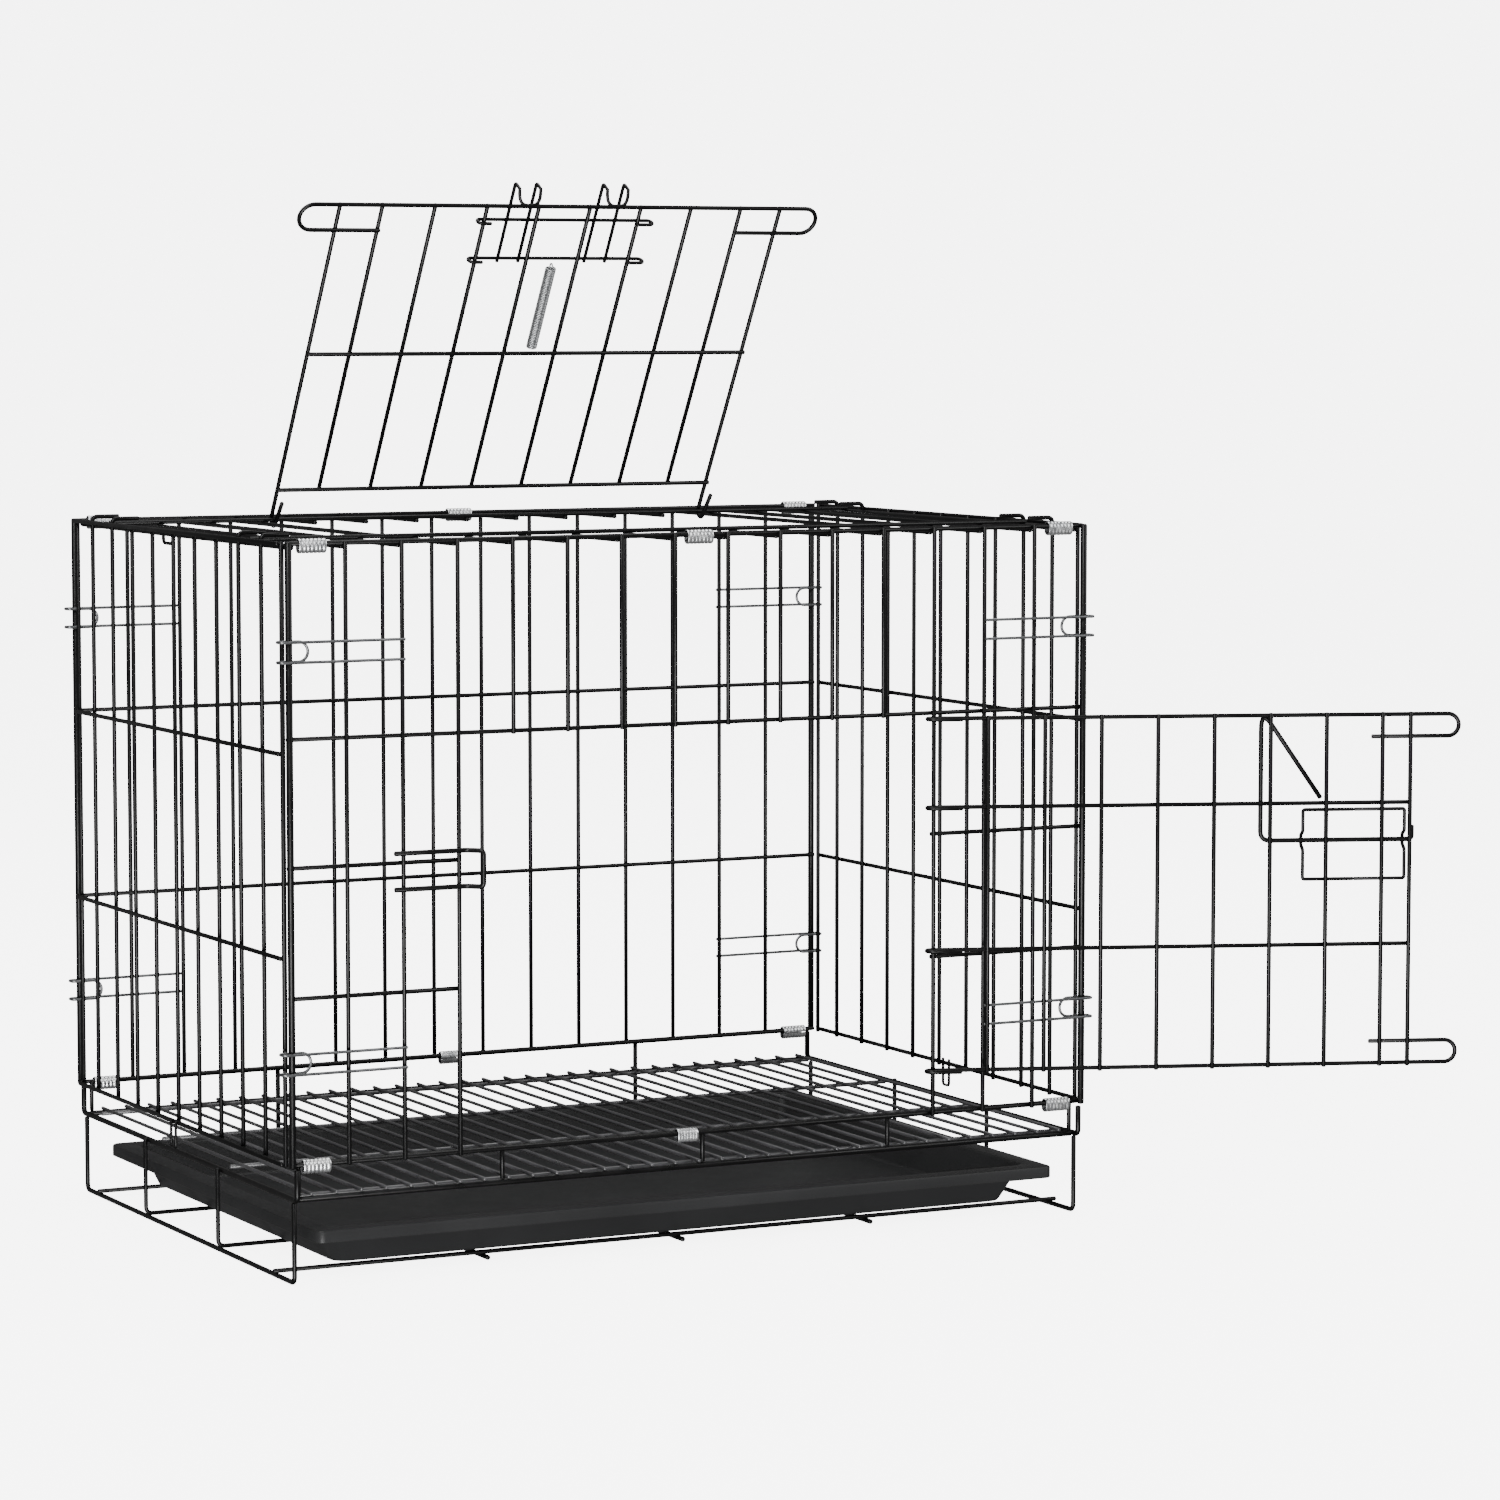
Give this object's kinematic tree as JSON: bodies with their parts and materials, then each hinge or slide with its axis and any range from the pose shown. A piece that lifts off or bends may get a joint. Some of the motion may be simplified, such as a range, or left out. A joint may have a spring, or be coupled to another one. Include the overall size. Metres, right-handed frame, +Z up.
{
  "type": "wire dog crate",
  "caption": "Folding wire pet crate with front and top doors, swing-in side panels, raised base, floor grate and slide-out tray.",
  "frame": {"origin": "centre of the crate's plan at floor level, on the underside of the centre tray runner", "axes": "+Z up, front with the door towards -Y, width along X"},
  "size_m": [0.8413, 0.5429, 0.7285],
  "materials": {
    "black_wire": "semi-gloss black powder coat",
    "clip_wire": "dull dark zinc plated spring wire",
    "bright_steel": "zinc plated sheet and spring wire",
    "black_plastic": "moulded satin black plastic"
  },
  "bodies": {
    "frame": {"front_panel": "black_wire", "back_panel": "black_wire", "top_panel_left": "black_wire", "top_panel_right": "black_wire", "top_panel_front": "black_wire", "top_panel_back": "black_wire", "latch_catch": "black_wire", "corner_clip_front_left_upper": "clip_wire", "corner_clip_front_left_lower": "clip_wire", "corner_clip_front_right_upper": "clip_wire", "corner_clip_front_right_lower": "clip_wire", "corner_clip_back_left_upper": "clip_wire", "corner_clip_back_left_lower": "clip_wire", "corner_clip_back_right_upper": "clip_wire", "corner_clip_back_right_lower": "clip_wire", "hinge_sleeve_front_top_left": "bright_steel", "hinge_sleeve_front_top_centre": "bright_steel", "hinge_sleeve_front_top_right": "bright_steel", "hinge_sleeve_front_bottom_left": "bright_steel", "hinge_sleeve_front_bottom_centre": "bright_steel", "hinge_sleeve_front_bottom_right": "bright_steel", "hinge_sleeve_back_top_left": "bright_steel", "hinge_sleeve_back_top_centre": "bright_steel", "hinge_sleeve_back_top_right": "bright_steel", "hinge_sleeve_back_bottom_left": "bright_steel", "hinge_sleeve_back_bottom_centre": "bright_steel", "hinge_sleeve_back_bottom_right": "bright_steel", "left_base_rail": "black_wire", "right_base_rail": "black_wire", "front_base_rail": "black_wire", "back_base_rail": "black_wire", "left_foot_frame": "black_wire", "right_foot_frame": "black_wire", "front_raised_rail": "black_wire", "front_floor_rail": "black_wire", "front_cross_wire": "black_wire", "back_raised_rail": "black_wire", "back_floor_rail": "black_wire", "back_cross_wire": "black_wire", "left_tray_runner": "black_wire", "centre_tray_runner": "black_wire", "right_tray_runner": "black_wire", "floor_grate": "black_wire"},
    "left_side": {"left_panel": "black_wire"},
    "right_side": {"right_panel": "black_wire"},
    "front_door": {"front_door": "black_wire", "bolt_guide": "black_wire"},
    "bolt": {"latch_bolt": "black_wire"},
    "top_door": {"top_door": "black_wire", "latch_spring": "bright_steel"},
    "top_slide": {"top_latch_slide": "black_wire"},
    "tray": {"tray": "black_plastic"}
  },
  "joints": [
    {"name": "front_door_hinge", "type": "hinge", "parent": "frame", "child": "front_door", "pos_m": [0.18, -0.205, 0.23], "axis": [0, 0, 1], "range_deg": [-159.5, 6]},
    {"name": "front_bolt_slide", "type": "slide", "parent": "front_door", "child": "bolt", "axis": [0.9367, -0.3502, 0], "range_m": [0, 0.022]},
    {"name": "top_door_hinge", "type": "hinge", "parent": "frame", "child": "top_door", "pos_m": [0, 0.1406, 0.4884], "axis": [1, 0, 0], "range_deg": [-106, 59]},
    {"name": "top_latch_slide", "type": "slide", "parent": "top_door", "child": "top_slide", "axis": [0, -0.515, 0.8572], "range_m": [0, 0.011], "stiffness_N_per_m": 300, "springref_m": -0.015, "deforming": ["latch_spring"]},
    {"name": "left_panel_swing", "type": "hinge", "parent": "frame", "child": "left_side", "pos_m": [-0.29571, 0, 0.48571], "axis": [0, -1, 0], "range_deg": [0, 86]},
    {"name": "right_panel_swing", "type": "hinge", "parent": "frame", "child": "right_side", "pos_m": [0.29571, 0, 0.48571], "axis": [0, 1, 0], "range_deg": [0, 74]},
    {"name": "tray_slide", "type": "slide", "parent": "frame", "child": "tray", "axis": [0, -1, 0], "range_m": [-0.004, 0.36]}
  ]
}
